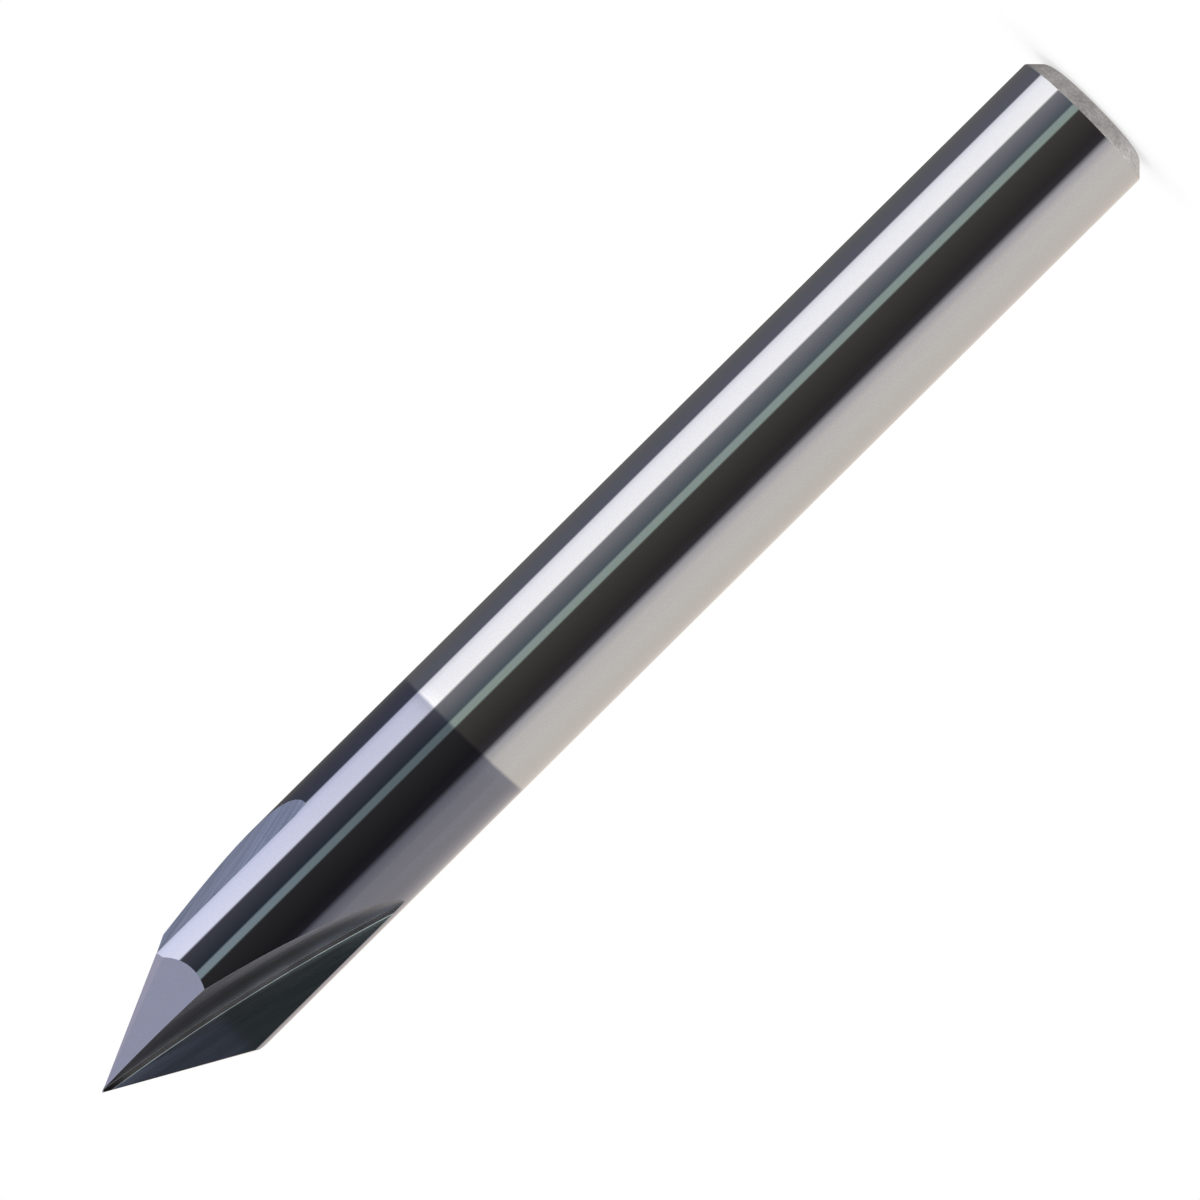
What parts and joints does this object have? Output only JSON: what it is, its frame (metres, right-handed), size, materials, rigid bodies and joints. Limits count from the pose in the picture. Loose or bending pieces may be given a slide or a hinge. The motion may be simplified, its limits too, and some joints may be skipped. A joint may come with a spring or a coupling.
{
  "type": "v groove router bit",
  "caption": "Solid carbide V groove bit with a round shank, a 60 degree point, straight flutes and ground relief behind each cutting edge.",
  "frame": {"origin": "centre of the shank's flat end face", "axes": "+Z runs along the axis from the shank's end to the point, and one of the cutting edges lies in the half plane of +X"},
  "size_m": [0.006, 0.006, 0.0515],
  "materials": {
    "carbide": "ground and polished carbide, with a dark blue-grey hard coating from the point to behind the flutes"
  },
  "bodies": {
    "root": {"router_bit": "carbide"}
  },
  "joints": []
}
